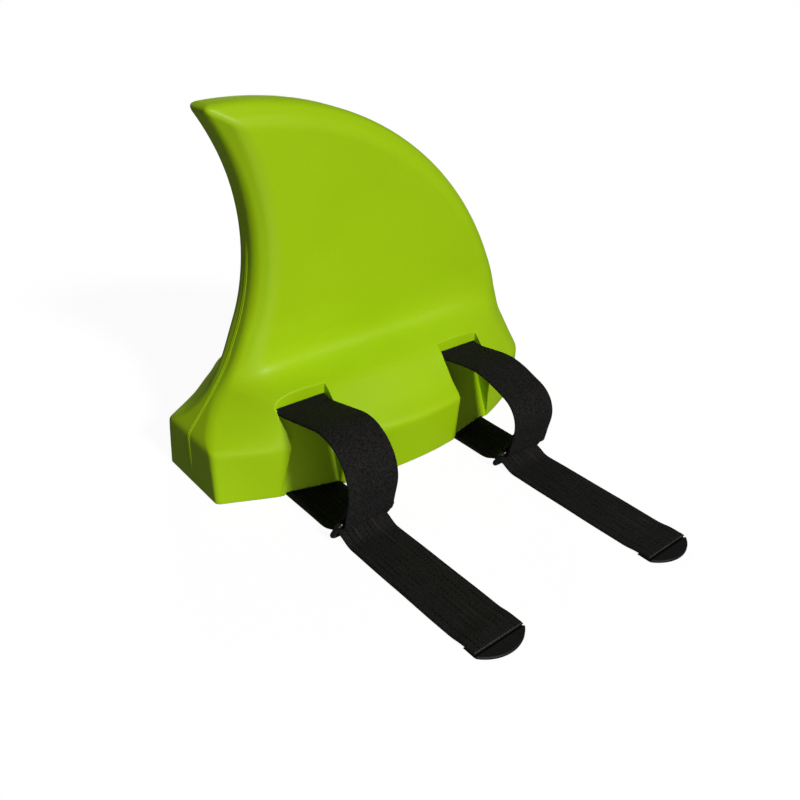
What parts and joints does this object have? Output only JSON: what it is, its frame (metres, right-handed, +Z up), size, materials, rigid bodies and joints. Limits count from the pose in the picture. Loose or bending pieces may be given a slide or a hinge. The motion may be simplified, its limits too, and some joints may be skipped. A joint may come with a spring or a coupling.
{
  "type": "swim float fin",
  "caption": "Fin-shaped foam swim float worn on the back, with a flared boat-shaped base, through slots and elastic straps that loop through rings and end in hook tabs.",
  "frame": {"origin": "middle of the base's flat underside, on the floor", "axes": "+X the way the wearer swims, towards the fin's leading edge; +Z up, out of the wearer's back; the straps close on the -Y side"},
  "size_m": [0.296, 0.3417, 0.259],
  "materials": {
    "foam": "soft satin skin of moulded closed-cell foam",
    "webbing": "black loop-faced elastic",
    "ring": "glossy moulded nylon",
    "hook_tab": "black hook tape",
    "thread": "black sewing thread"
  },
  "bodies": {
    "float": {"fin_float": "foam", "rear_strap_band": "webbing", "front_strap_band": "webbing", "rear_loop_stitching": "thread", "front_loop_stitching": "thread"},
    "rear_ring": {"rear_ring": "ring"},
    "front_ring": {"front_ring": "ring"},
    "rear_tail": {"rear_strap_tail": "webbing", "rear_hook_tab": "hook_tab", "rear_tab_stitching": "thread"},
    "front_tail": {"front_strap_tail": "webbing", "front_hook_tab": "hook_tab", "front_tab_stitching": "thread"}
  },
  "joints": [
    {"name": "rear_ring_swing", "type": "hinge", "parent": "float", "child": "rear_ring", "pos_m": [-0.0835, -0.119, 0.0155], "axis": [1, 0, 0], "range_deg": [0, 5]},
    {"name": "front_ring_swing", "type": "hinge", "parent": "float", "child": "front_ring", "pos_m": [0.064, -0.123, 0.0155], "axis": [1, 0, 0], "range_deg": [0, 5]},
    {"name": "rear_tail_lift", "type": "hinge", "parent": "float", "child": "rear_tail", "pos_m": [-0.0835, -0.13015, 0.0021], "axis": [-1, 0, 0], "range_deg": [0, 65]},
    {"name": "front_tail_lift", "type": "hinge", "parent": "float", "child": "front_tail", "pos_m": [0.064, -0.13415, 0.0021], "axis": [-1, 0, 0], "range_deg": [0, 65]}
  ]
}
